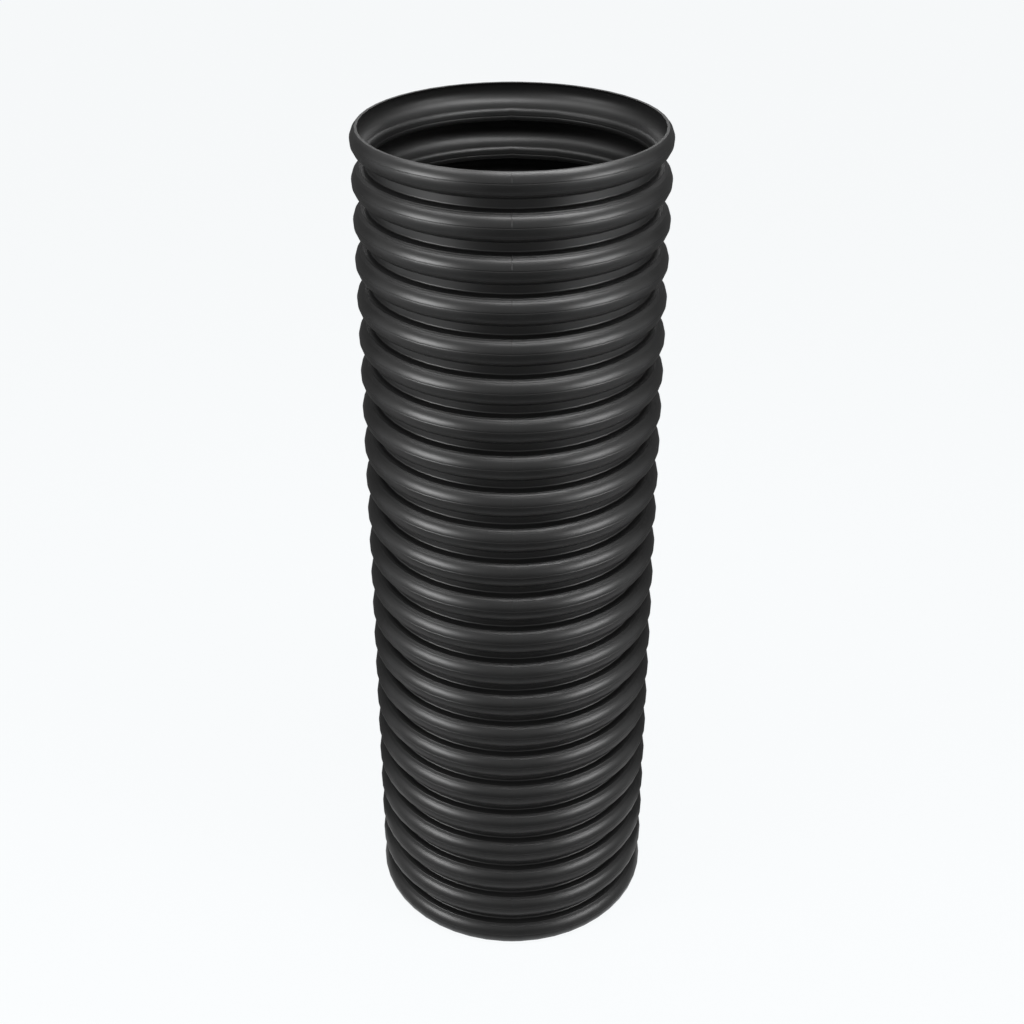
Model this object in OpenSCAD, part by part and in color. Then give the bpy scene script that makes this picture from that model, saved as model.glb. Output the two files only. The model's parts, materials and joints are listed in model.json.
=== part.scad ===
// Corrugated riser pipe
// A straight single-wall inspection riser. Rings stand close together all the
// way along it, hollow behind, with a narrow flat valley between them. Both
// ends are sawn square through the shoulder of the end ring.

/* [Pipe] */
// Clear diameter inside, across the lands
inside_diameter = 425; // [270:1:800]
// Number of rings along the pipe
ring_count = 23; // [2:1:100]
// Distance from one crest to the next
ring_pitch = 62; // [58:0.5:100]

/* [Wall] */
// Thickness of the wall
wall_thickness = 3; // [2:0.1:5]
// How far a ring's crest stands above the valley beside it
ring_rise = 22.5; // [20:0.1:26]
// Outside radius of a ring's half-round section
ring_radius = 23.5; // [20:0.1:26]
// Radius of the hollow fillet where a ring's flank meets the valley
valley_fillet = 2.5; // [1:0.1:4]
// Radius of the rounded edge of a land inside the pipe
land_edge_radius = 7; // [4:0.1:9]

/* [Ends] */
// Distance of the top end from the centre of the first ring
top_cut = 17.5; // [14:0.25:20]
// Distance of the bottom end from the centre of the last ring
bottom_cut = 18.5; // [12:0.25:20]

/* [Hidden] */
SHOWN = [0.09, 0.09, 0.10];

// Facets of a ring's half-round, of a corner rounding and of the turned wall
ring_facets = 180;
corner_facets = 90;
turn_facets = 240;
// How far a shape runs on past the one that it joins or cuts
overlap = 1;

pipe_length = (ring_count - 1) * ring_pitch + top_cut + bottom_cut;
land_radius = inside_diameter / 2;
valley_radius = land_radius + wall_thickness;
crest_radius = valley_radius + ring_rise;
ring_centre = crest_radius - ring_radius;
hollow_radius = ring_radius - wall_thickness;

// Height of the centre of ring number i, counted from the bottom
function ring_height(i) = bottom_cut + i * ring_pitch;

// Distance along the pipe from a ring's centre to the centre of a corner
// rounding, which lies at radius corner_centre and touches the half-round
// from outside
function corner_offset(half_round, corner, corner_centre) =
    sqrt(pow(half_round + corner, 2) - pow(corner_centre - ring_centre, 2));

// One side's half-round ring with its two corners, about a ring at height
// zero. floor_radius is the radius of the straight part beside it, half_round
// the radius of the ring's section and corner that of each rounding.
module ring_face(floor_radius, half_round, corner) {
    corner_centre = floor_radius + corner;
    corner_height = corner_offset(half_round, corner, corner_centre);
    // where the rounding touches the half-round
    touch_share = half_round / (half_round + corner);
    touch_radius = ring_centre + (corner_centre - ring_centre) * touch_share;
    difference() {
        union() {
            translate([ring_centre, 0]) circle(r = half_round, $fn = ring_facets);
            translate([floor_radius - overlap, -corner_height])
                square([touch_radius - floor_radius + overlap, 2 * corner_height]);
        }
        for (side = [-1, 1])
            translate([corner_centre, side * corner_height])
                circle(r = corner, $fn = corner_facets);
    }
}

// Everything inside one face of the wall, out from the axis
module filled_face(floor_radius, half_round, corner) {
    union() {
        square([floor_radius, pipe_length]);
        for (i = [0 : ring_count - 1])
            translate([0, ring_height(i)])
                ring_face(floor_radius, half_round, corner);
    }
}

// The wall as it shows where the pipe is cut down its length
module wall_section() {
    intersection() {
        difference() {
            filled_face(valley_radius, ring_radius, valley_fillet);
            filled_face(land_radius, hollow_radius, land_edge_radius);
        }
        square([crest_radius + overlap, pipe_length]);
    }
}

module riser_pipe() {
    color(SHOWN) rotate_extrude($fn = turn_facets) wall_section();
}

riser_pipe();
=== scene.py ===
"""Looks of a corrugated riser pipe: one moulded wall with two sawn ends, in a plain pale studio."""

import json
import logging
import math
from dataclasses import dataclass
from enum import Enum
from typing import Any

import bpy
import numpy as np
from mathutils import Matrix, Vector


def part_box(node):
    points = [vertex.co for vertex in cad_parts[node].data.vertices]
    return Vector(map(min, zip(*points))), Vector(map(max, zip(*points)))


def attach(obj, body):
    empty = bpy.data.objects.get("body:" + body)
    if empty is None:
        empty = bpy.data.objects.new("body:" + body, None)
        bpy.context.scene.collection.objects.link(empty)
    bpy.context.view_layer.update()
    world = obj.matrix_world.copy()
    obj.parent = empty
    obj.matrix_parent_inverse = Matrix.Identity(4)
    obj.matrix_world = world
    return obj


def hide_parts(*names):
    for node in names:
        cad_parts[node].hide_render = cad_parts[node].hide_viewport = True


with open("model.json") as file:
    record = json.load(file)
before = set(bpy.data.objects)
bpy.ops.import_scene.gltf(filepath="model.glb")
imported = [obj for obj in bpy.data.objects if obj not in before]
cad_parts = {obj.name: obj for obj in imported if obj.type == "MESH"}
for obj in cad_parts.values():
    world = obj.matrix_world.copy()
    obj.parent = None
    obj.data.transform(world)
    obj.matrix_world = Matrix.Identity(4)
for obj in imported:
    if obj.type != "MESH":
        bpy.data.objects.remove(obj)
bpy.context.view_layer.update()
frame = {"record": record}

MM = 0.001
NODE = "riser_pipe"
LOG = logging.getLogger("riser")
# The seam stands full height between these angles of a ring's section, and fades out over the
# next few. All are in degrees from outward.
SEAM_FULL = (24.0, 76.0)
SEAM_FADE = 20.0
# Where the points of a relief lie across it, in shares of half its width.
ACROSS = (-1, -0.5, 0, 0.5, 1)
# The even points of an arc keep this many half widths away from the middle of a relief.
KEEP_OFF = 1.3
# Angles are kept to this many digits, and may pass the end of their arc by this many degrees.
ANGLE_DIGITS = 4
ANGLE_SLACK = 1e-3
# Two points of the section nearer than this, in mm, are one.
SAME_POINT = 0.01
# Most of a noise lies between these values, which are spread over the range that it drives.
NOISE_MIDDLE = (0.3, 0.7)
# How strong each finer layer of a flow mark is beside the one before.
NOISE_ROUGHNESS = 0.55


class Turn(Enum):
    """Which way an arc of the section bends, seen from the air."""

    CONVEX = 1
    CONCAVE = -1


class Finish(Enum):
    """The surface that a stretch of the section has, as its place in the mesh's material list."""

    MOULDED = 0
    SAWN = 1
    INNER = 2


@dataclass(frozen=True)
class Relief:
    """A fine ridge or groove that runs right round the pipe.

    at is in degrees round an arc, or in mm from the middle of a flat. A ridge has a height above
    zero and a groove one below.
    """

    at: float
    width: float
    height: float

    def lift(self, distance: float) -> float:
        """How high the relief stands.

        Args:
            distance: from the middle of the relief, in mm.

        Returns:
            The height in mm, which is below zero in a groove.
        """
        if abs(distance) >= self.width / 2:
            return 0.0
        return self.height * math.cos(math.pi * distance / self.width) ** 2

    def slope(self, distance: float) -> float:
        """How steep the relief is.

        Args:
            distance: from the middle of the relief, in mm.

        Returns:
            The rise for each mm further on.
        """
        if abs(distance) >= self.width / 2:
            return 0.0
        return -self.height * math.pi / self.width * math.sin(2 * math.pi * distance / self.width)


@dataclass(frozen=True)
class Station:
    """A point of the section, in mm, with the direction of its normal and what lies on it."""

    radius: float
    height: float
    normal: tuple[float, float]
    seam: float
    ripple: float
    finish: Finish


@dataclass(frozen=True)
class Arc:
    """A round stretch of the section, with its sizes in mm.

    start and end are the angles of its normal, in degrees from outward, and step is the widest
    that its points may lie apart. seam and ripple say how much of either it takes, up to 1.
    """

    centre: tuple[float, float]
    radius: float
    start: float
    end: float
    turn: Turn
    step: float
    reliefs: tuple[Relief, ...] = ()
    seam: float = 0.0
    ripple: float = 0.0
    finish: Finish = Finish.MOULDED

    def stations(self) -> list[Station]:
        """Points along the arc, close together only where a relief needs them.

        Returns:
            The stations from start to end.
        """
        low, high = sorted((self.start, self.end))
        count = max(2, math.ceil((high - low) / self.step) + 1)
        angles = {round(float(a), ANGLE_DIGITS) for a in np.linspace(low, high, count)}
        for relief in self.reliefs:
            half = math.degrees(relief.width / 2 / self.radius)
            angles = {a for a in angles if abs(a - relief.at) > KEEP_OFF * half or a in (low, high)}
            angles |= {round(relief.at + half * k, ANGLE_DIGITS) for k in ACROSS}
        inside = sorted(a for a in angles if low - ANGLE_SLACK <= a <= high + ANGLE_SLACK)
        return [self._station(a) for a in (inside if self.end > self.start else inside[::-1])]

    @staticmethod
    def _seam_share(angle: float) -> float:
        """How much of its height the seam has at an angle in degrees."""
        beyond = max(SEAM_FULL[0] - angle, angle - SEAM_FULL[1], 0.0)
        return math.cos(math.pi / 2 * min(1.0, beyond / SEAM_FADE)) ** 2

    def _station(self, angle: float) -> Station:
        """One point of the arc, lifted by the reliefs that lie on it.

        Args:
            angle: that of the smooth arc's normal, in degrees.

        Returns:
            The station, whose own normal leans with the reliefs.
        """
        out = (math.cos(math.radians(angle)), math.sin(math.radians(angle)))
        side = self.turn.value
        along = side * math.copysign(1, self.end - self.start)
        distances = [(r, math.radians(angle - r.at) * self.radius * side) for r in self.reliefs]
        lift = sum(r.lift(d) for r, d in distances)
        rise = sum(r.slope(d) for r, d in distances) * along
        tangent = (-out[1] * along, out[0] * along)
        normal = (out[0] - rise * tangent[0], out[1] - rise * tangent[1])
        reach = side * self.radius
        return Station(
            self.centre[0] + out[0] * (reach + lift),
            self.centre[1] + out[1] * (reach + lift),
            normal,
            self.seam * self._seam_share(angle),
            self.ripple,
            self.finish,
        )


@dataclass(frozen=True)
class Flat:
    """A straight stretch of the section, with its ends in mm.

    angle is that of its normal, in degrees from outward.
    """

    start: tuple[float, float]
    end: tuple[float, float]
    angle: float
    reliefs: tuple[Relief, ...] = ()
    ripple: float = 0.0
    finish: Finish = Finish.MOULDED

    def stations(self) -> list[Station]:
        """Points along the flat: its two ends, and five for each relief.

        Returns:
            The stations from start to end.
        """
        length = math.dist(self.start, self.end)
        places = {0.0, length}
        for relief in self.reliefs:
            places |= {length / 2 + relief.at + relief.width / 2 * k for k in ACROSS}
        return [self._station(p, length) for p in sorted(places) if 0 <= p <= length]

    def _station(self, place: float, length: float) -> Station:
        """One point of the flat, lifted by the reliefs that lie on it.

        Args:
            place: its distance from the start, in mm.
            length: that of the whole flat, in mm.

        Returns:
            The station, whose normal leans with the reliefs.
        """
        out = (math.cos(math.radians(self.angle)), math.sin(math.radians(self.angle)))
        tangent = tuple((e - s) / length for s, e in zip(self.start, self.end))
        distances = [(r, place - length / 2 - r.at) for r in self.reliefs]
        lift = sum(r.lift(d) for r, d in distances)
        rise = sum(r.slope(d) for r, d in distances)
        point = tuple(s + t * place + o * lift for s, t, o in zip(self.start, tangent, out))
        normal = (out[0] - rise * tangent[0], out[1] - rise * tangent[1])
        return Station(point[0], point[1], normal, 0.0, self.ripple, self.finish)


@dataclass
class WallSection:
    """The pipe's wall as it shows where it is cut down its length. Sizes in mm.

    Rings stand hollow along it, with a narrow flat valley between them outside and a wider land
    inside. Both ends are sawn square through the shoulder of the end ring.
    """

    outside_radius: float
    inside_radius: float
    length: float
    pitch: float = 62.0
    thickness: float = 3.0
    ring_radius: float = 23.5
    valley_fillet: float = 2.5
    land_edge: float = 7.0
    top_cut: float = 17.5
    bottom_cut: float = 18.5
    sawn_edge: float = 0.4
    # The mould shut least tightly at its top, so the seam stands highest on the first rings.
    tall_seams: int = 3
    low_seam: float = 0.4
    # The widest steps in degrees between points, round each of the section's arcs.
    ring_step: float = 11.0
    fillet_step: float = 24.0
    hollow_step: float = 20.0
    land_edge_step: float = 27.0
    outer_sawn_step: float = 25.0
    inner_sawn_step: float = 40.0
    # Fine ridges and grooves that the mould leaves on a ring. Those within the margin, in degrees,
    # of the end of its arc are left out.
    crown_margin: float = 4.0
    crown: tuple[Relief, ...] = (
        Relief(at=62.0, width=2.2, height=0.32),
        Relief(at=48.0, width=2.0, height=0.18),
        Relief(at=7.5, width=2.6, height=-0.40),
        Relief(at=-27.0, width=2.2, height=-0.22),
    )
    # A fine groove round each land, close to its middle.
    channel: tuple[Relief, ...] = (Relief(at=1.6, width=3.2, height=-0.5),)

    def __post_init__(self) -> None:
        """Works out the places that follow from the sizes."""
        self.ring_centre = self.outside_radius - self.ring_radius
        self.hollow_radius = self.ring_radius - self.thickness
        self.valley_radius = self.inside_radius + self.thickness
        self.rings = round((self.length - self.top_cut - self.bottom_cut) / self.pitch) + 1

    def ring_height(self, number: int) -> float:
        """Height in mm of the centre of a ring, counted from the bottom."""
        return self.bottom_cut + number * self.pitch

    def corner(self, floor: float, half_round: float, rounding: float) -> tuple[float, float, float]:
        """Where a rounding lies between a ring's half-round and the straight part beside it.

        Args:
            floor: radius of the straight part.
            half_round: radius of the ring's section.
            rounding: radius of the rounding.

        Returns:
            The radius of the rounding's centre, its distance along the pipe from the ring's
            centre, and the angle in degrees at which the two meet.
        """
        centre = floor + rounding
        offset = math.sqrt((half_round + rounding) ** 2 - (centre - self.ring_centre) ** 2)
        return centre, offset, math.degrees(math.atan2(offset, centre - self.ring_centre))

    def outside(self) -> list[Arc | Flat]:
        """The outer face, from the bottom cut up to the top one.

        Returns:
            Its arcs and flats in order.
        """
        centre, offset, meet = self.corner(self.valley_radius, self.ring_radius, self.valley_fillet)
        path: list[Arc | Flat] = []
        for number in range(self.rings):
            z = self.ring_height(number)
            low = -self.cut_angle(self.bottom_cut, -1) if number == 0 else -meet
            high = self.cut_angle(self.top_cut, -1) if number == self.rings - 1 else meet
            margin = self.crown_margin
            reliefs = tuple(r for r in self.crown if low + margin < r.at < high - margin)
            if number:
                path.append(Arc((centre, z - offset), self.valley_fillet, 0, -meet, Turn.CONCAVE,
                                self.fillet_step))
            seam = 1.0 if number >= self.rings - self.tall_seams else self.low_seam
            path.append(Arc((self.ring_centre, z), self.ring_radius, low, high, Turn.CONVEX,
                            self.ring_step, reliefs, seam=seam))
            if number < self.rings - 1:
                path.append(Arc((centre, z + offset), self.valley_fillet, meet, 0, Turn.CONCAVE,
                                self.fillet_step))
                floor = (self.valley_radius, z + offset)
                path.append(Flat(floor, (floor[0], z + self.pitch - offset), 0))
        return path

    def inside(self) -> list[Arc | Flat]:
        """The inner face, from the top cut down to the bottom one.

        Returns:
            Its arcs and flats in order.
        """
        centre, offset, meet = self.corner(self.inside_radius, self.hollow_radius, self.land_edge)
        path: list[Arc | Flat] = []
        for number in reversed(range(self.rings)):
            z = self.ring_height(number)
            high = self.cut_angle(self.top_cut, 1) if number == self.rings - 1 else meet
            low = -self.cut_angle(self.bottom_cut, 1) if number == 0 else -meet
            if number < self.rings - 1:
                edge = (centre, z + offset)
                path.append(Arc(edge, self.land_edge, 180, 180 + meet, Turn.CONVEX,
                                self.land_edge_step, ripple=1.0, finish=Finish.INNER))
            path.append(Arc((self.ring_centre, z), self.hollow_radius, 180 + high, 180 + low,
                            Turn.CONCAVE, self.hollow_step, finish=Finish.INNER))
            if number:
                edge = (centre, z - offset)
                path.append(Arc(edge, self.land_edge, 180 - meet, 180, Turn.CONVEX,
                                self.land_edge_step, ripple=1.0, finish=Finish.INNER))
                land = (self.inside_radius, z - offset)
                end = (land[0], z - self.pitch + offset)
                path.append(Flat(land, end, 180, self.channel, ripple=1.0, finish=Finish.INNER))
        return path

    def cut_angle(self, cut: float, side: int) -> float:
        """Where the rounding of a sawn edge meets the wall.

        Args:
            cut: distance in mm of the sawn face from the ring's centre.
            side: -1 for the outer face and 1 for the inner one.

        Returns:
            The angle round the ring in degrees.
        """
        wall = self.ring_radius if side < 0 else self.hollow_radius
        return math.degrees(math.asin((cut - self.sawn_edge) / (wall + side * self.sawn_edge)))

    def edge_centre(self, cut: float, side: int) -> float:
        """How far from the pipe's axis the centre of a sawn edge's rounding lies.

        Args:
            cut: distance in mm of the sawn face from the ring's centre.
            side: -1 for the outer face and 1 for the inner one.

        Returns:
            The radius in mm.
        """
        wall = self.ring_radius if side < 0 else self.hollow_radius
        reach = (wall + side * self.sawn_edge) ** 2 - (cut - self.sawn_edge) ** 2
        return self.ring_centre + math.sqrt(reach)

    def sawn(self, top: bool) -> list[Arc | Flat]:
        """One sawn end: a rounded edge, the flat face and the other edge.

        Args:
            top: True for the top end, from outside to inside, and False for the bottom one, from
                inside to outside.

        Returns:
            The three stretches in order.
        """
        cut, way = (self.top_cut, 1) if top else (self.bottom_cut, -1)
        face = self.length if top else 0.0
        centre_z = face - way * self.sawn_edge
        outer, inner = self.edge_centre(cut, -1), self.edge_centre(cut, 1)
        arcs = [
            Arc((outer, centre_z), self.sawn_edge, way * self.cut_angle(cut, -1), way * 90,
                Turn.CONVEX, self.outer_sawn_step),
            Arc((inner, centre_z), self.sawn_edge, way * 90, way * (180 + self.cut_angle(cut, 1)),
                Turn.CONVEX, self.inner_sawn_step),
        ]
        flat = Flat((outer, face), (inner, face), way * 90, finish=Finish.SAWN)
        stretches: list[Arc | Flat] = [arcs[0], flat, arcs[1]]
        if top:
            return stretches
        back = [Arc(a.centre, a.radius, a.end, a.start, a.turn, a.step) for a in (arcs[1], arcs[0])]
        return [back[0], Flat(flat.end, flat.start, flat.angle, finish=Finish.SAWN), back[1]]

    def loop(self) -> list[Station]:
        """The whole closed section, without the doubled points where two stretches meet.

        Returns:
            The stations up the outside, over the top, down the inside and back below.
        """
        path = [*self.outside(), *self.sawn(top=True), *self.inside(), *self.sawn(top=False)]
        stations: list[Station] = []
        for stretch in path:
            for station in stretch.stations():
                if stations and self._meet(stations[-1], station):
                    # The sawn face keeps its own normal, so that its edge stays crisp.
                    if station.finish == Finish.SAWN:
                        stations[-1] = station
                    continue
                stations.append(station)
        if self._meet(stations[0], stations[-1]):
            stations.pop()
        return stations

    @staticmethod
    def _meet(one: Station, other: Station) -> bool:
        """Whether two stations are the same point."""
        return math.dist((one.radius, one.height), (other.radius, other.height)) < SAME_POINT


def linear(code: str) -> tuple[float, float, float, float]:
    """An sRGB hex colour as the linear colour that a shader takes, by the standard's own curve.

    Args:
        code: the colour, such as "#1b1b1c".

    Returns:
        Red, green, blue and an alpha of 1.
    """
    parts = [int(code[k:k + 2], 16) / 255 for k in (1, 3, 5)]
    red, green, blue = (p / 12.92 if p <= 0.04045 else ((p + 0.055) / 1.055) ** 2.4 for p in parts)
    return red, green, blue, 1.0


def add_node(
    tree: bpy.types.NodeTree,
    kind: str,
    settings: dict[str, Any] | None = None,
    **links: Any,
) -> bpy.types.Node:
    """Adds a node with its settings, values and links.

    Args:
        tree: the node tree.
        kind: the node's type name.
        settings: properties of the node itself.
        **links: an input's name, with _ for a space, or its number as _0, and either the value
            or the output socket that goes into it. A colour mix has its share at _0 and its
            two colours at _6 and _7, and gives the result at output 2.

    Returns:
        The new node.
    """
    node = tree.nodes.new(kind)
    for name, value in (settings or {}).items():
        setattr(node, name, value)
    for name, value in links.items():
        target = node.inputs[int(name[1:])] if name[0] == "_" else node.inputs[name.replace("_", " ")]
        if isinstance(value, bpy.types.NodeSocket):
            tree.links.new(value, target)
        else:
            target.default_value = value
    return node


def new_tree(owner: bpy.types.Material | bpy.types.World) -> bpy.types.NodeTree:
    """Gives a material or a world an empty node tree.

    Args:
        owner: the material or world.

    Returns:
        Its tree.
    """
    owner.use_nodes = True
    owner.node_tree.nodes.clear()
    return owner.node_tree


def ring_noise(
    tree: bpy.types.NodeTree,
    across: float,
    along: float,
    detail: float,
) -> bpy.types.NodeSocket:
    """Noise drawn out round the pipe, the same on the ring's top as on its face.

    Args:
        tree: the node tree.
        across: size of a mark across the section, in mm.
        along: its length round the pipe, in mm.
        detail: how many finer layers it has.

    Returns:
        The socket with the noise's value.
    """
    place = add_node(tree, "ShaderNodeTexCoord").outputs["Object"]
    drawn = add_node(tree, "ShaderNodeVectorMath", {"operation": "MULTIPLY"}, _0=place,
                     _1=(1 / (along * MM), 1 / (along * MM), 1 / (across * MM)))
    level = add_node(tree, "ShaderNodeVectorMath", {"operation": "MULTIPLY"}, _0=place, _1=(1, 1, 0))
    radius = add_node(tree, "ShaderNodeVectorMath", {"operation": "LENGTH"}, _0=level.outputs[0])
    width = add_node(tree, "ShaderNodeMath", {"operation": "DIVIDE"},
                     _0=radius.outputs["Value"], _1=across * MM)
    noise = add_node(tree, "ShaderNodeTexNoise", {"noise_dimensions": "4D"},
                     Vector=drawn.outputs[0], W=width.outputs[0], Scale=1.0, Detail=detail,
                     Roughness=NOISE_ROUGHNESS)
    return noise.outputs["Fac"]


def remap(
    tree: bpy.types.NodeTree,
    source: bpy.types.NodeSocket,
    low: float,
    high: float,
) -> bpy.types.NodeSocket:
    """Spreads the middle of a noise over a range.

    Args:
        tree: the node tree.
        source: the socket with the noise's value.
        low: the lower end of the range.
        high: its upper end.

    Returns:
        The socket with the value in the range.
    """
    node = add_node(tree, "ShaderNodeMapRange", {}, Value=source, From_Min=NOISE_MIDDLE[0],
                    From_Max=NOISE_MIDDLE[1], To_Min=low, To_Max=high)
    return node.outputs["Result"]


def backdrop_share(tree: bpy.types.NodeTree) -> bpy.types.NodeSocket:
    """Tells the rays that see the background from those that light.

    Args:
        tree: the node tree.

    Returns:
        A socket that is 1 for camera, glossy and transmission rays, and 0 for the others.
    """
    path = add_node(tree, "ShaderNodeLightPath")
    seen = add_node(tree, "ShaderNodeMath", {"operation": "MAXIMUM"},
                    _0=path.outputs["Is Camera Ray"], _1=path.outputs["Is Glossy Ray"])
    both = add_node(tree, "ShaderNodeMath", {"operation": "MAXIMUM"},
                    _0=seen.outputs[0], _1=path.outputs["Is Transmission Ray"])
    return both.outputs[0]


@dataclass(frozen=True)
class MouldedPolypropylene:
    """Black polypropylene, blown against a corrugating mould.

    The mould leaves a soft satin sheen, a faint grain, and marks drawn out round the pipe, where
    the plastic slid as it cooled. Carbon black makes the body nearly black.
    """

    name: str = "polypropylene_moulded"
    dark: str = "#0e0e0e"
    light: str = "#131313"
    ior: float = 1.49
    specular: float = 0.36
    roughness: tuple[float, float] = (0.33, 0.41)
    # Sizes in mm, across the section and round the pipe, of the flow marks and of the broad
    # clouds where the sheen and the black vary.
    flow_across: float = 3.0
    flow_along: float = 180.0
    flow_detail: float = 4.0
    cloud_across: float = 28.0
    cloud_along: float = 120.0
    cloud_detail: float = 2.0
    # The real grain is about 0.1 mm. It is drawn far coarser, so that it shows.
    grain: float = 1.8
    grain_stretch: float = 1.6
    grain_detail: float = 2.0
    grain_depth: float = 0.014

    def build(self) -> bpy.types.Material:
        """Makes the material.

        Returns:
            The material, ready for the mesh.
        """
        material = bpy.data.materials.new(self.name)
        tree = new_tree(material)
        flow = ring_noise(tree, self.flow_across, self.flow_along, self.flow_detail)
        cloud = ring_noise(tree, self.cloud_across, self.cloud_along, self.cloud_detail)
        grain = ring_noise(tree, self.grain, self.grain * self.grain_stretch, self.grain_detail)
        tone = add_node(tree, "ShaderNodeMix", {"data_type": "RGBA"}, _0=remap(tree, cloud, 0, 1),
                        _6=linear(self.dark), _7=linear(self.light))
        both = add_node(tree, "ShaderNodeMath", {"operation": "ADD"}, _0=flow, _1=cloud)
        half = add_node(tree, "ShaderNodeMath", {"operation": "MULTIPLY"}, _0=both.outputs[0], _1=0.5)
        bump = add_node(tree, "ShaderNodeBump", {}, Strength=1.0, Distance=self.grain_depth * MM,
                        Height=grain)
        shader = add_node(tree, "ShaderNodeBsdfPrincipled", {}, Base_Color=tone.outputs[2],
                          Roughness=remap(tree, half.outputs[0], *self.roughness), IOR=self.ior,
                          Specular_IOR_Level=self.specular, Normal=bump.outputs["Normal"])
        add_node(tree, "ShaderNodeOutputMaterial", {}, Surface=shader.outputs[0])
        return material


@dataclass(frozen=True)
class InnerPolypropylene(MouldedPolypropylene):
    """The inner face, which hung free as the outer one was drawn against the mould.

    With nothing to polish it, it is duller, and flow marks run further round it. Its black is a
    shade paler as painted light, for the light that falls about inside the pipe.
    """

    name: str = "polypropylene_free"
    # A paler black than outside, as painted light for the light that falls about inside the pipe.
    dark: str = "#141414"
    light: str = "#1b1b1b"
    roughness: tuple[float, float] = (0.40, 0.50)
    flow_along: float = 260.0


@dataclass(frozen=True)
class SawnPolypropylene:
    """The same plastic where a saw cut it: paler, duller and finely scored across the wall.

    A straight saw scores the face in lines that all run one way across the pipe.
    """

    name: str = "polypropylene_sawn"
    dark: str = "#141414"
    light: str = "#202020"
    ior: float = 1.49
    specular: float = 0.36
    roughness: tuple[float, float] = (0.5, 0.65)
    # Width and depth in mm of the scores that the saw leaves, and how many times longer they are.
    tooth: float = 0.8
    tooth_depth: float = 0.05
    score_stretch: float = 25.0
    score_detail: float = 3.0

    def build(self) -> bpy.types.Material:
        """Makes the material.

        Returns:
            The material, ready for the mesh.
        """
        material = bpy.data.materials.new(self.name)
        tree = new_tree(material)
        place = add_node(tree, "ShaderNodeTexCoord").outputs["Object"]
        fine = 1 / (self.tooth * MM)
        lines = add_node(tree, "ShaderNodeVectorMath", {"operation": "MULTIPLY"}, _0=place,
                         _1=(fine, 1 / (self.score_stretch * self.tooth * MM), fine))
        noise = add_node(tree, "ShaderNodeTexNoise", {}, Vector=lines.outputs[0], Scale=1.0,
                         Detail=self.score_detail)
        score = noise.outputs["Fac"]
        tone = add_node(tree, "ShaderNodeMix", {"data_type": "RGBA"}, _0=remap(tree, score, 0, 1),
                        _6=linear(self.dark), _7=linear(self.light))
        bump = add_node(tree, "ShaderNodeBump", {}, Strength=1.0, Distance=self.tooth_depth * MM,
                        Height=score)
        shader = add_node(tree, "ShaderNodeBsdfPrincipled", {}, Base_Color=tone.outputs[2],
                          Roughness=remap(tree, score, *self.roughness), IOR=self.ior,
                          Specular_IOR_Level=self.specular, Normal=bump.outputs["Normal"])
        add_node(tree, "ShaderNodeOutputMaterial", {}, Surface=shader.outputs[0])
        return material


@dataclass(frozen=True)
class MattPaper:
    """Pale uncoated paper, laid flat as the floor.

    With no gloss it shows one even tone right out to the room, and the pipe's shadow lies on it
    only faintly.
    """

    name: str = "paper_matt"
    sheet: str = "#f9fafe"
    # The paper as it is seen with no shadow on it, and its share; the rest hangs on the lamps.
    even: str = "#f9fbfc"
    even_share: float = 0.97

    def build(self) -> bpy.types.Material:
        """Makes the material.

        Returns:
            The material, ready for the mesh.
        """
        material = bpy.data.materials.new(self.name)
        tree = new_tree(material)
        matt = add_node(tree, "ShaderNodeBsdfDiffuse", {}, Color=linear(self.sheet))
        even = add_node(tree, "ShaderNodeEmission", {}, Color=linear(self.even), Strength=1.0)
        share = add_node(tree, "ShaderNodeMath", {"operation": "MULTIPLY"},
                         _0=backdrop_share(tree), _1=self.even_share)
        mixed = add_node(tree, "ShaderNodeMixShader", {}, _0=share.outputs[0], _1=matt.outputs[0],
                         _2=even.outputs[0])
        add_node(tree, "ShaderNodeOutputMaterial", {}, Surface=mixed.outputs[0])
        return material


@dataclass(frozen=True)
class GreyCard:
    """Flat grey card, which shows as one even tone wherever the plastic reflects it."""

    name: str
    grey: str

    def build(self) -> bpy.types.Material:
        """Makes the material.

        Returns:
            The material, ready for the mesh.
        """
        material = bpy.data.materials.new(self.name)
        tree = new_tree(material)
        even = add_node(tree, "ShaderNodeEmission", {}, Color=linear(self.grey), Strength=1.0)
        add_node(tree, "ShaderNodeOutputMaterial", {}, Surface=even.outputs[0])
        return material


@dataclass(frozen=True)
class Seam:
    """The line where two halves of the mould met. Azimuth in degrees, sizes in mm."""

    azimuth: float
    width: float = 2.2
    height: float = 0.42


@dataclass(frozen=True)
class Ripple:
    """A place where the lands inside were drawn up a little as the mould opened. Sizes in mm."""

    azimuth: float
    width: float
    lift: float


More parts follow.
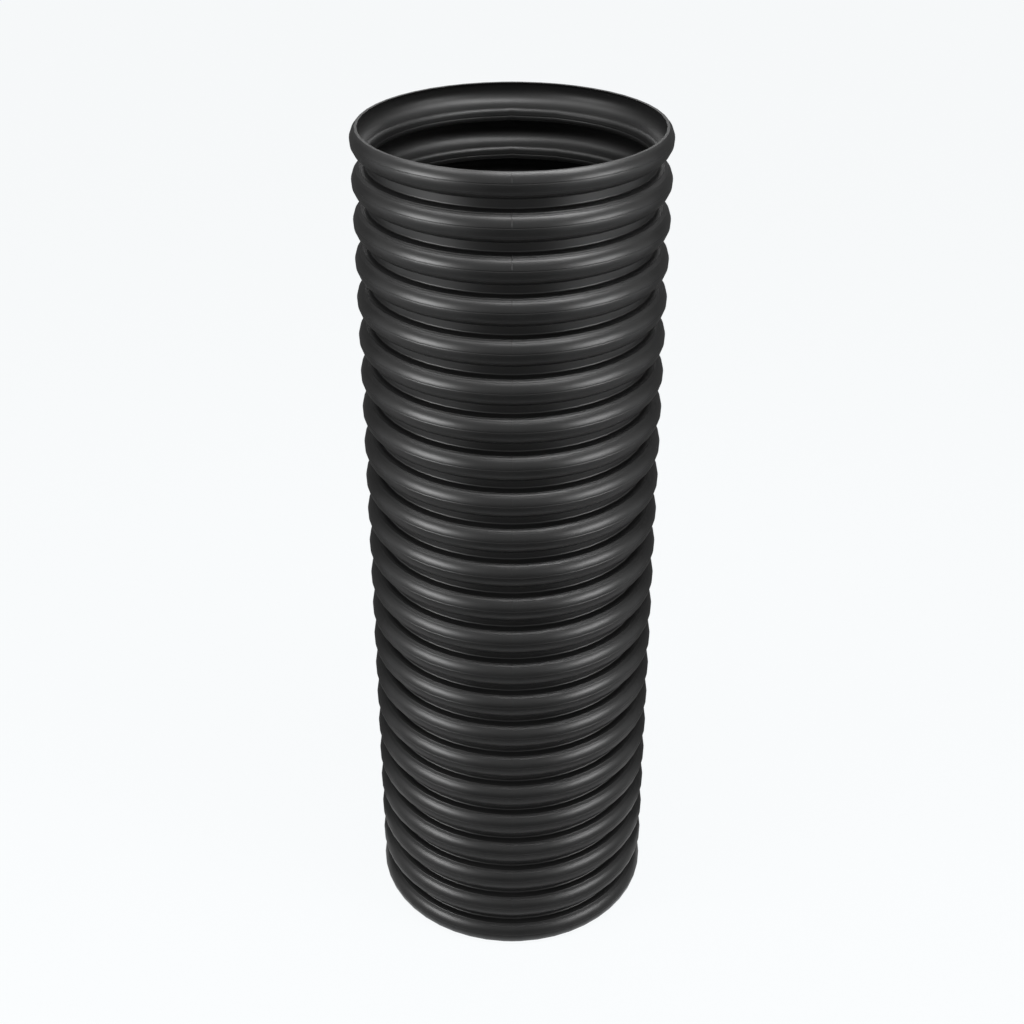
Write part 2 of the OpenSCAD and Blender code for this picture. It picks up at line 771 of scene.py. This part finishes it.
@dataclass
class RiserPipe:
    """The pipe's wall as one closed mesh, turned from its section.

    columns is how many stand evenly round it, and narrowest is the least in degrees between two.
    """

    section: WallSection
    columns: int = 48
    narrowest: float = 0.05
    seams: tuple[Seam, ...] = (Seam(-90.0), Seam(90.0, height=0.4))
    ripples: tuple[Ripple, ...] = (Ripple(90.0, 24.0, 0.9), Ripple(71.0, 20.0, 0.7))

    def __post_init__(self) -> None:
        """Sets the columns out by half of what the flats between them cut off a round wall."""
        self.stretch = 1 + (1 - math.cos(math.pi / self.columns)) / 2

    def azimuths(self) -> list[float]:
        """Where the mesh's columns stand: evenly, with narrow ones at each seam and ripple.

        Returns:
            Their angles in degrees, in order.
        """
        angles = [360 / self.columns * (k + 0.5) - 180 for k in range(self.columns)]
        reach = self.section.outside_radius
        for seam in self.seams:
            half = math.degrees(seam.width / 2 / reach)
            angles += [seam.azimuth + half * k for k in ACROSS]
        for ripple in self.ripples:
            half = math.degrees(ripple.width / 2 / reach)
            angles += [ripple.azimuth + half * k for k in ACROSS if k]
        spaced: list[float] = []
        for angle in sorted(angles):
            if not spaced or angle - spaced[-1] > self.narrowest:
                spaced.append(angle)
        return spaced

    def seam_relief(self, azimuth: float) -> tuple[float, float]:
        """How the seams stand at a place round the pipe.

        Args:
            azimuth: the place, in degrees.

        Returns:
            Their height in mm, and their rise for each mm further round.
        """
        lift = slope = 0.0
        for seam in self.seams:
            ridge = Relief(0, seam.width, seam.height)
            distance = math.radians(azimuth - seam.azimuth) * self.section.outside_radius
            lift += ridge.lift(distance)
            slope += ridge.slope(distance)
        return lift, slope

    def ripple_lift(self, azimuth: float) -> float:
        """How far the lands are drawn up at a place round the pipe.

        Args:
            azimuth: the place, in degrees.

        Returns:
            The distance in mm.
        """
        total = 0.0
        for ripple in self.ripples:
            distance = math.radians(azimuth - ripple.azimuth) * self.section.inside_radius
            total += ripple.lift * max(0.0, 1 - abs(distance) / (ripple.width / 2))
        return total

    def turned(self, loop: list[Station]) -> tuple[np.ndarray, np.ndarray]:
        """Turns the section round the axis, with the seams and ripples on it.

        Args:
            loop: the section's stations.

        Returns:
            The points in mm and their normals, one column after another.
        """
        place = np.array([(s.radius, s.height) for s in loop])
        normal = np.array([s.normal for s in loop])
        seam_share = np.array([s.seam for s in loop])
        ripple_share = np.array([s.ripple for s in loop])
        up = np.array([0.0, 0.0, 1.0])
        points, normals = [], []
        for azimuth in self.azimuths():
            lift, slope = self.seam_relief(azimuth)
            out = np.array([math.cos(math.radians(azimuth)), math.sin(math.radians(azimuth)), 0.0])
            along = np.array([-out[1], out[0], 0.0])
            radius = (place[:, 0] + normal[:, 0] * lift * seam_share) * self.stretch
            height = place[:, 1] + normal[:, 1] * lift * seam_share
            height = height + self.ripple_lift(azimuth) * ripple_share
            points.append(radius[:, None] * out + height[:, None] * up)
            lean = (slope * seam_share)[:, None] * along
            facing = normal[:, :1] * out + normal[:, 1:] * up - lean
            normals.append(facing / np.linalg.norm(facing, axis=1)[:, None])
        return np.concatenate(points), np.concatenate(normals)

    def dress(self, mesh: bpy.types.Mesh, loop: list[Station], turns: int) -> None:
        """Gives the mesh its finishes. A face between two of them takes the moulded one.

        Args:
            mesh: the pipe's mesh.
            loop: the section's stations.
            turns: how many columns the mesh has.
        """
        pairs = [(s.finish, t.finish) for s, t in zip(loop, loop[1:] + loop[:1])]
        slots = [a.value if a == b else Finish.MOULDED.value for a, b in pairs]
        mesh.polygons.foreach_set("material_index", np.tile(np.array(slots, dtype=np.int32), turns))
        finishes = {
            Finish.MOULDED: MouldedPolypropylene(),
            Finish.SAWN: SawnPolypropylene(),
            Finish.INNER: InnerPolypropylene(),
        }
        for finish in Finish:
            mesh.materials.append(finishes[finish].build())

    def build(self) -> bpy.types.Object:
        """Makes the mesh, with the section's own normals so that fine relief shades cleanly.

        Returns:
            The pipe's object, at the origin.
        """
        loop = self.section.loop()
        points, normals = self.turned(loop)
        count = len(loop)
        turns = len(points) // count
        faces = [
            (a * count + s, b * count + s, b * count + (s + 1) % count, a * count + (s + 1) % count)
            for a in range(turns)
            for b in [(a + 1) % turns]
            for s in range(count)
        ]
        mesh = bpy.data.meshes.new("riser_pipe_wall")
        mesh.from_pydata(points * MM, [], faces)
        mesh.polygons.foreach_set("use_smooth", np.ones(len(faces), dtype=bool))
        self.dress(mesh, loop, turns)
        mesh.update()
        mesh.normals_split_custom_set_from_vertices(normals)
        pipe = bpy.data.objects.new("pipe_wall", mesh)
        bpy.context.scene.collection.objects.link(pipe)
        LOG.info("pipe wall: %d stations, %d columns, %d triangles", count, turns, 2 * len(faces))
        return pipe


@dataclass(frozen=True)
class Softbox:
    """A rectangular soft lamp that faces a point. Places and sizes in metres.

    brightness is what its face shows, where 1 is white.
    """

    name: str
    place: tuple[float, float, float]
    target: tuple[float, float, float]
    size: tuple[float, float]
    brightness: float

    def build(self) -> None:
        """Makes the lamp. Its energy is what gives its face the brightness, whatever its size."""
        data = bpy.data.lights.new(self.name, "AREA")
        data.shape = "RECTANGLE"
        data.size, data.size_y = self.size
        data.energy = self.brightness * math.pi * self.size[0] * self.size[1]
        lamp = bpy.data.objects.new(self.name, data)
        lamp.location = self.place
        way = Vector(self.target) - Vector(self.place)
        lamp.rotation_euler = way.to_track_quat("-Z", "Y").to_euler()
        bpy.context.scene.collection.objects.link(lamp)
        LOG.info("lamp %s at brightness %g", self.name, self.brightness)


@dataclass(frozen=True)
class Card:
    """A grey card that lies on the floor and folds up at its far edge. Only reflections meet it.

    azimuths are its two sides in degrees round the pipe from the front, reach is how far from the
    pipe's axis it starts and folds, and height is that of its upright part, in metres.
    """

    name: str
    azimuths: tuple[float, float]
    reach: tuple[float, float]
    height: float


@dataclass
class Studio:
    """A pale floor and room, soft lamps, grey cards and a mat, and the camera. Sizes in metres.

    foot, top and top_ring are the heights of the pipe's foot, of its top and of the centre of
    its top ring.
    """

    foot: float
    top: float
    top_ring: float
    paper: MattPaper = MattPaper()
    # What the room shows in reflections, and how bright it is where it lights.
    wall: str = "#dcdcdc"
    fill: float = 0.12
    # The two at the back keep the pipe's edges crisp, and the low one in front its valleys dark.
    card_places: tuple[Card, ...] = (
        Card("card_left", (-176.0, -106.0), (0.26, 1.5), 1.9),
        Card("card_right", (106.0, 176.0), (0.26, 1.5), 1.9),
        Card("card_front", (-35.0, 35.0), (0.8, 4.2), 1.4),
    )
    card_grey: str = "#636363"
    card_lift: float = 0.004
    card_folds: int = 3
    mat_grey: str = "#cbcbcb"
    mat_reach: tuple[float, float] = (0.25, 3.0)
    mat_lift: float = 0.002
    mat_sides: int = 48
    floor_size: float = 60.0
    # How far up the pipe the wide lamps aim, as a share of its height.
    wide_aim: float = 0.65
    # The camera's lens in mm, its tilt in degrees, and its place.
    lens: float = 55.83
    tilt_down: float = 29.84
    stand_off: float = 2.292
    above_top_ring: float = 0.678

    def lamps(self) -> list[Softbox]:
        """The lamps, placed from the pipe's own height.

        The wide ones draw the soft bright bands down the pipe's sides, and those over it light
        the shoulders of its rings. The one at the back glances off the rim.

        Returns:
            The lamps, still to be made.
        """
        top = self.top
        middle = (0.0, 0.0, self.wide_aim * top)
        rim = (0.0, 0.0, top)
        return [
            Softbox("wide_left", (-2.5, -1.45, top + 0.1), middle, (1.5, 0.95), 19.0),
            Softbox("wide_right", (2.5, -1.45, top + 0.1), middle, (1.5, 0.95), 15.0),
            Softbox("overhead", (0.2, -0.72, top + 1.72), rim, (1.3, 0.5), 19.0),
            Softbox("high_left", (-0.65, -0.41, top + 0.9), rim, (0.5, 0.35), 8.0),
            Softbox("high_right", (0.65, -0.41, top + 0.9), rim, (0.5, 0.35), 17.0),
            Softbox("side_left", (-1.68, 0.0, top + 1.8), rim, (1.0, 0.5), 8.0),
            Softbox("side_right", (1.68, 0.0, top + 1.8), rim, (1.0, 0.5), 6.0),
            Softbox("back", (0.0, 2.1, top + 1.4), rim, (2.6, 0.6), 4.0),
        ]

    def reflected(
        self,
        name: str,
        points: list[tuple[float, float, float]],
        faces: list[tuple[int, ...]],
        grey: str,
    ) -> None:
        """A plain sheet that only reflections meet: it stands out of sight and throws no shadow.

        Args:
            name: the sheet's name.
            points: its corners in metres.
            faces: its faces, each as the numbers of its corners.
            grey: its colour.
        """
        mesh = bpy.data.meshes.new(name)
        mesh.from_pydata(points, [], faces)
        mesh.materials.append(GreyCard(name, grey).build())
        sheet = bpy.data.objects.new(name, mesh)
        bpy.context.scene.collection.objects.link(sheet)
        sheet.visible_camera = sheet.visible_shadow = sheet.visible_diffuse = False
        LOG.info("%s in %s", name, grey)

    def cards(self) -> None:
        """The grey cards, each with its floor part and its upright one."""
        base = self.foot + self.card_lift
        for card in self.card_places:
            near, far = card.reach
            profile = ((near, base), (far, base), (far, self.foot + card.height))
            row = len(profile)
            ways = [(math.sin(math.radians(a)), -math.cos(math.radians(a)))
                    for a in np.linspace(*card.azimuths, self.card_folds + 1)]
            points = [(x * reach, y * reach, z) for x, y in ways for reach, z in profile]
            faces = [(k, k + 1, k + 1 + row, k + row) for fold in range(self.card_folds)
                     for k in range(fold * row, fold * row + row - 1)]
            self.reflected(card.name, points, faces, self.card_grey)

    def mat(self) -> None:
        """A grey mat on the floor round the pipe, which gives its faces their depth."""
        height = self.foot + self.mat_lift
        turns = [2 * math.pi * k / self.mat_sides for k in range(self.mat_sides)]
        points = [(reach * math.cos(t), reach * math.sin(t), height) for t in turns
                  for reach in self.mat_reach]
        count = len(points)
        faces = [(k, k + 1, (k + 3) % count, (k + 2) % count) for k in range(0, count, 2)]
        self.reflected("mat", points, faces, self.mat_grey)

    def floor(self) -> None:
        """A wide sheet of pale paper under the pipe, which keeps its shadow."""
        half = self.floor_size / 2
        mesh = bpy.data.meshes.new("floor")
        corners = [(-half, -half), (half, -half), (half, half), (-half, half)]
        mesh.from_pydata([(x, y, self.foot) for x, y in corners], [], [(0, 1, 2, 3)])
        sheet = bpy.data.objects.new("floor", mesh)
        bpy.context.scene.collection.objects.link(sheet)
        mesh.materials.append(self.paper.build())
        LOG.info("floor in %s", self.paper.name)

    def room(self) -> None:
        """The world: paper to the eye, a pale wall in reflections, and dimmer where it lights."""
        world = bpy.data.worlds.new("room")
        bpy.context.scene.world = world
        tree = new_tree(world)
        path = add_node(tree, "ShaderNodeLightPath")
        direct = add_node(tree, "ShaderNodeMath", {"operation": "MAXIMUM"},
                          _0=path.outputs["Is Camera Ray"], _1=path.outputs["Is Transmission Ray"])
        shown = add_node(tree, "ShaderNodeMix", {"data_type": "RGBA"}, _0=direct.outputs[0],
                         _6=linear(self.wall), _7=linear(self.paper.even))
        level = add_node(tree, "ShaderNodeMapRange", {}, Value=backdrop_share(tree),
                         To_Min=self.fill, To_Max=1.0)
        light = add_node(tree, "ShaderNodeBackground", {}, Color=shown.outputs[2],
                         Strength=level.outputs["Result"])
        add_node(tree, "ShaderNodeOutputWorld", {}, Surface=light.outputs[0])

    def camera(self) -> None:
        """The camera, in front of the pipe and above it."""
        data = bpy.data.cameras.new("camera")
        data.lens = self.lens
        view = bpy.data.objects.new("camera", data)
        view.location = (0, -self.stand_off, self.top_ring + self.above_top_ring)
        view.rotation_euler = (math.radians(90 - self.tilt_down), 0, 0)
        bpy.context.scene.collection.objects.link(view)
        bpy.context.scene.camera = view

    def build(self) -> None:
        """Makes the whole studio."""
        self.floor()
        self.cards()
        self.mat()
        self.room()
        for lamp in self.lamps():
            lamp.build()
        self.camera()
        bpy.context.scene.view_settings.view_transform = "Standard"


def bore_radius() -> float:
    """Radius in mm of the clear bore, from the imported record."""
    mounts = frame["record"]["mounts"]
    return next(m["dims"]["r_mm"] for m in mounts if m["name"] == "clear_bore")


def main() -> None:
    """Builds the pipe, dresses it and sets up the studio."""
    logging.basicConfig(level=logging.INFO, format="%(name)s: %(message)s")
    low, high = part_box(NODE)
    section = WallSection(
        outside_radius=high.x / MM,
        inside_radius=bore_radius(),
        length=(high.z - low.z) / MM,
    )
    pipe = RiserPipe(section).build()
    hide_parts(NODE)
    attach(pipe, "root")
    Studio(low.z, high.z, top_ring=high.z - section.top_cut * MM).build()


if __name__ == "__main__":
    main()
